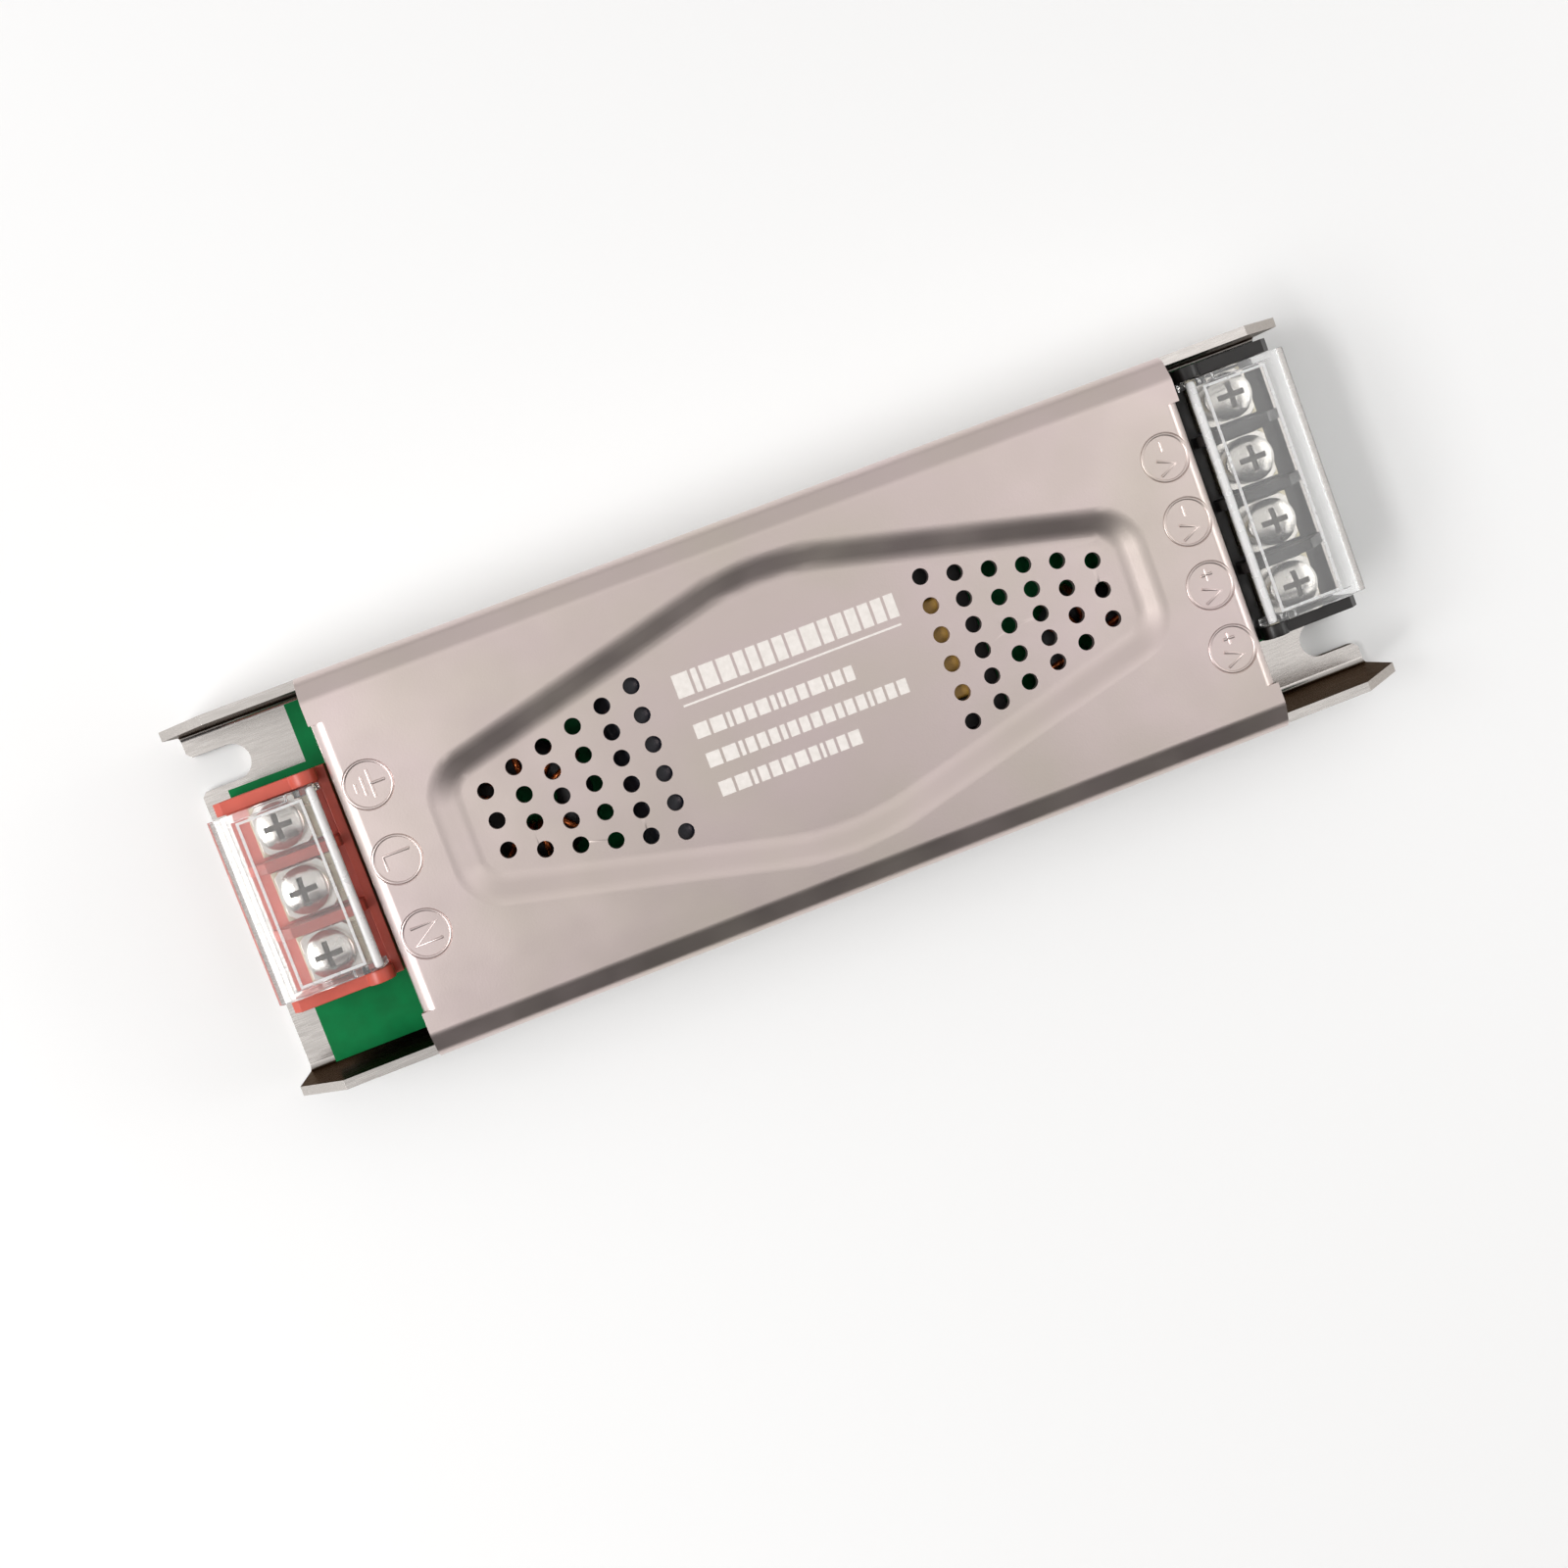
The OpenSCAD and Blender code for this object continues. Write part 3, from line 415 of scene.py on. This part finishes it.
def add_recess(screw):
    """Thin dark cross-shaped plate down in a screw's recess, as painted shade."""
    low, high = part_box(screw)
    centre = Vector(((low[0] + high[0]) / 2, (low[1] + high[1]) / 2, high[2] - CROSS_DEPTH))
    a, b = CROSS_LENGTH / 2, CROSS_WIDTH / 2
    outline = (
        (b, b), (b, a), (-b, a),
        (-b, b), (-a, b), (-a, -b),
        (-b, -b), (-b, -a), (b, -a),
        (b, -b), (a, -b), (a, b),
    )
    bm = bmesh.new()
    face = bm.faces.new([bm.verts.new(centre + Vector((x, y, 0))) for x, y in outline])
    copied = bmesh.ops.extrude_face_region(bm, geom=[face])["geom"]
    lower = [item for item in copied if isinstance(item, bmesh.types.BMVert)]
    bmesh.ops.translate(bm, verts=lower, vec=(0, 0, -CROSS_THICK))
    bmesh.ops.recalc_face_normals(bm, faces=bm.faces)
    bmesh_piece(screw + "_recess", bm, recess_shade, screw)


for node_name in sorted(nodes):
    if "_screw_" in node_name:
        add_recess(node_name)


# ---- Line frame moulded on each clear cover, and a hinge bead whose white is a painted highlight ----

FRAME_WIDTH = 0.32 * MM
FRAME_HEIGHT = 0.12 * MM
FRAME_SINK = 0.03 * MM
FRAME_FROM_WIRES = 3.4 * MM
FRAME_FROM_HINGE = 1.9 * MM
FRAME_FROM_END = 2.9 * MM

BEAD_RADIUS = 0.55 * MM
BEAD_SIDES = 24
BEAD_ROUND = 0.4 * MM
BEAD_ROUND_STEPS = 5
BEAD_FROM_HINGE = 0.75 * MM
BEAD_FROM_END = 1.9 * MM
BEAD_DROP = 0.70 * MM


def cover_sides(end, wire_side):
    """X of a clear cover's wire edge and hinge edge, Y of its block's two ends, and Z of its top."""
    low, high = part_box(end + "_cover")
    block_low, block_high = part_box(end + "_block")
    wire_x, hinge_x = (low[0], high[0]) if wire_side < 0 else (high[0], low[0])
    return wire_x, hinge_x, block_low[1], block_high[1], high[2]


def add_frame(end, wire_side):
    """Closed rectangular ridge on the cover's flat top."""
    wire_x, hinge_x, near_y, far_y, top = cover_sides(end, wire_side)
    x0, x1 = sorted((wire_x - wire_side * FRAME_FROM_WIRES, hinge_x + wire_side * FRAME_FROM_HINGE))
    y0, y1 = near_y + FRAME_FROM_END, far_y - FRAME_FROM_END
    z0, z1 = top - FRAME_SINK, top + FRAME_HEIGHT
    bm = bmesh.new()
    loops = []
    for inset, z in ((0, z0), (0, z1), (FRAME_WIDTH, z1), (FRAME_WIDTH, z0)):
        left, right, near, far = x0 + inset, x1 - inset, y0 + inset, y1 - inset
        corners = ((left, near), (right, near), (right, far), (left, far))
        loops.append([bm.verts.new((x, y, z)) for x, y in corners])
    for loop, following in zip(loops, loops[1:] + loops[:1]):
        for i in range(4):
            j = (i + 1) % 4
            bm.faces.new((loop[i], loop[j], following[j], following[i]))
    bmesh.ops.recalc_face_normals(bm, faces=bm.faces)
    bmesh_piece(end + "_cover_frame", bm, frosted_ridge, end + "_cover")


def add_bead(end, wire_side):
    """Rod with rounded ends along the cover's hinge side, white as a painted highlight."""
    _, hinge_x, near_y, far_y, top = cover_sides(end, wire_side)
    x = hinge_x + wire_side * BEAD_FROM_HINGE
    y0, y1 = near_y + BEAD_FROM_END, far_y - BEAD_FROM_END
    place = Matrix.Translation((x, (y0 + y1) / 2, top - BEAD_DROP)) @ Matrix.Rotation(math.pi / 2, 4, "X")
    bm = bmesh.new()
    bmesh.ops.create_cone(bm, cap_ends=True, segments=BEAD_SIDES, radius1=BEAD_RADIUS, radius2=BEAD_RADIUS,
                          depth=y1 - y0, matrix=place)
    rims = [edge for edge in bm.edges if any(len(face.verts) == BEAD_SIDES for face in edge.link_faces)]
    bmesh.ops.bevel(bm, geom=rims, offset=BEAD_ROUND, segments=BEAD_ROUND_STEPS, profile=0.5, affect="EDGES")
    for face in bm.faces:
        face.smooth = True
    bmesh_piece(end + "_cover_bead", bm, white_bead_highlight, end + "_cover")


for end_name, end_side in ENDS:
    add_frame(end_name, end_side)
    add_bead(end_name, end_side)


# ---- Print on the sunk panel: the text becomes plain blocks ----

PANEL_Z = TOP_Z - 1.0 * MM
PRINT_THICK = 0.015 * MM
PRINT_GAP = 0.36  # between blocks, millimetres

# Rows of blocks in millimetres: bottom, height, start, widths
PRINT_ROWS = (
    (5.7, 2.9, -13.6,
     (2.0, 0.7, 1.8, 1.8, 1.2, 1.2, 1.4, 1.3, 1.5, 1.9, 1.3, 1.4, 1.3, 1.3, 1.3, 1.2)),
    (0.5, 1.8, -13.2,
     (1.7, 1.7, 0.5, 1.1, 1.1, 1.4, 0.6, 0.6, 1.1, 1.1, 1.7, 0.6, 1.1, 1.1)),
    (-3.2, 1.8, -13.0,
     (1.7, 1.7, 0.5, 1.1, 1.1, 1.1, 0.6, 1.1, 1.1, 1.1, 1.3, 0.8, 1.1, 1.1, 0.5, 1.1, 1.1, 1.2)),
    (-6.9, 1.8, -12.8,
     (1.7, 1.7, 0.5, 1.1, 1.2, 1.3, 1.4, 1.1, 0.4, 1.0, 1.1, 1.4)),
)
RULE = (-13.4, 4.6, 14.2, 4.85)  # line under the first row: left, bottom, right, top


def print_block(bm, left, bottom, right, top):
    """Adds a thin block on the panel, given in millimetres."""
    low = Vector((left, bottom, 0)) * MM + Vector((0, 0, PANEL_Z))
    high = Vector((right, top, 0)) * MM + Vector((0, 0, PANEL_Z + PRINT_THICK))
    matrix = Matrix.Translation((high + low) / 2) @ Matrix.Diagonal((*(high - low), 1))
    bmesh.ops.create_cube(bm, size=1, matrix=matrix)


def add_print():
    bm = bmesh.new()
    for bottom, height, start, widths in PRINT_ROWS:
        x = start
        for width in widths:
            print_block(bm, x, bottom, x + width, bottom + height)
            x += width + PRINT_GAP
    print_block(bm, *RULE)
    bmesh_piece("print_blocks", bm, white_print, "case")


add_print()


# ---- Floor and lamps ----

FLOOR_SIZE = 6.0
FLOOR_Z = -0.2 * MM
FLOOR_COLOUR = (0.89, 0.89, 0.89, 1)
FLOOR_ROUGH = 0.9

# Soft boxes: place, aim, width and height in metres, power in watts
LAMPS = {
    "key": ((-0.80, 0.02, 0.60), (-0.06, 0, 0), 0.80, 0.25, 3.3),
    "kicker": ((0.88, -0.02, 0.45), (0.06, 0, 0), 0.60, 0.22, 0.6),
    "panel_light": ((-0.55, -0.05, 0.68), (0.03, 0, 0), 0.50, 0.12, 2.9),
    "fill": ((0.34, -0.05, 0.75), (0.03, 0, 0), 0.50, 0.20, 0.22),
    "end_light": ((0.30, -0.02, 0.16), (0.09, 0, 0), 0.30, 0.10, 0.14),
}


def soft_box(name, at, aim, width, height, power):
    data = bpy.data.lights.new(name, "AREA")
    data.shape = "RECTANGLE"
    data.size = width
    data.size_y = height
    data.energy = power
    lamp = add_object(name, data)
    lamp.location = at
    lamp.rotation_euler = (Vector(aim) - Vector(at)).to_track_quat("-Z", "Y").to_euler()


bpy.ops.mesh.primitive_plane_add(size=FLOOR_SIZE, location=(0, 0, FLOOR_Z))
floor = bpy.context.object
floor.name = "floor"
floor.data.materials.append(shader("floor_white", FLOOR_COLOUR, FLOOR_ROUGH, Specular_IOR_Level=0.0))

for lamp_name, lamp_values in LAMPS.items():
    soft_box(lamp_name, *lamp_values)


# ---- Studio sky ----
# Bright overhead, dimmer on the far side, dark on the near side, with a pale backdrop low down all round

NEAR_SIDE = Vector((0.10, -1.0, 0.15)).normalized()
SKY_COLOUR = (1.0, 0.985, 0.97, 1)
# Cosine of the angle from the near side, and the level there
SKY_LEVELS = (
    (-1.0, 0.46), (-0.6, 0.60), (-0.25, 0.80), (0.15, 0.84), (0.30, 0.68), (0.45, 0.23), (0.58, 0.0),
)
BACKDROP_TOP = 0.155  # sine of the height where the backdrop starts to fade
BACKDROP_FADE = 0.07
BACKDROP_LEVEL = 0.80


def studio_sky():
    world = bpy.data.worlds.new("studio")
    bpy.context.scene.world = world
    world.use_nodes = True
    sky = world.node_tree
    direction = sky.nodes.new("ShaderNodeTexCoord").outputs["Generated"]

    facing = sky.nodes.new("ShaderNodeVectorMath")
    facing.operation = "DOT_PRODUCT"
    facing.inputs[1].default_value = NEAR_SIDE
    sky.links.new(direction, facing.inputs[0])
    level = sky.nodes.new("ShaderNodeValToRGB")
    level.color_ramp.interpolation = "B_SPLINE"
    for _ in SKY_LEVELS[2:]:  # a new ramp has two elements
        level.color_ramp.elements.new(0.5)
    for element, (cosine, value) in zip(level.color_ramp.elements, SKY_LEVELS):
        element.position = (cosine + 1) / 2
        element.color = (value, value, value, 1)
    sky.links.new(map_range(sky, facing.outputs["Value"], (-1.0, 1.0)), level.inputs["Fac"])

    height = sky.nodes.new("ShaderNodeSeparateXYZ")
    sky.links.new(direction, height.inputs["Vector"])
    low_down = map_range(sky, height.outputs["Z"], (BACKDROP_TOP + BACKDROP_FADE, BACKDROP_TOP))
    backdrop = sky.nodes.new("ShaderNodeMix")
    backdrop.inputs["B"].default_value = BACKDROP_LEVEL
    sky.links.new(low_down, backdrop.inputs["Factor"])
    sky.links.new(level.outputs["Color"], backdrop.inputs["A"])

    background = sky.nodes["Background"]
    background.inputs["Color"].default_value = SKY_COLOUR
    sky.links.new(backdrop.outputs["Result"], background.inputs["Strength"])


studio_sky()


# ---- Camera, fitted to the photo ----

CAMERA_AT = Vector((-18.97, 14.73, 206.86)) * MM
CAMERA_AIM = Vector((-7.67, 2.32, 18.7)) * MM
CAMERA_ROLL = math.radians(20.6)
CAMERA_LENS = 36.98
CAMERA_SENSOR = 36
CAMERA_SHIFT = (0.030, -0.048)
CAMERA_CLIP_START = 5 * MM


def photo_camera():
    data = bpy.data.cameras.new("camera")
    data.lens = CAMERA_LENS
    data.sensor_width = CAMERA_SENSOR
    data.shift_x, data.shift_y = CAMERA_SHIFT
    data.clip_start = CAMERA_CLIP_START
    forward = (CAMERA_AIM - CAMERA_AT).normalized()
    level_up = (Vector((0, 1, 0)) - forward * forward.y).normalized()
    level_right = forward.cross(level_up)
    up = level_up * math.cos(CAMERA_ROLL) + level_right * math.sin(CAMERA_ROLL)
    right = forward.cross(up)
    turn = Matrix((right, up, -forward)).transposed().to_4x4()
    camera = add_object("camera", data)
    camera.matrix_world = Matrix.Translation(CAMERA_AT) @ turn
    bpy.context.scene.camera = camera


photo_camera()
bpy.context.scene.view_settings.view_transform = "Standard"
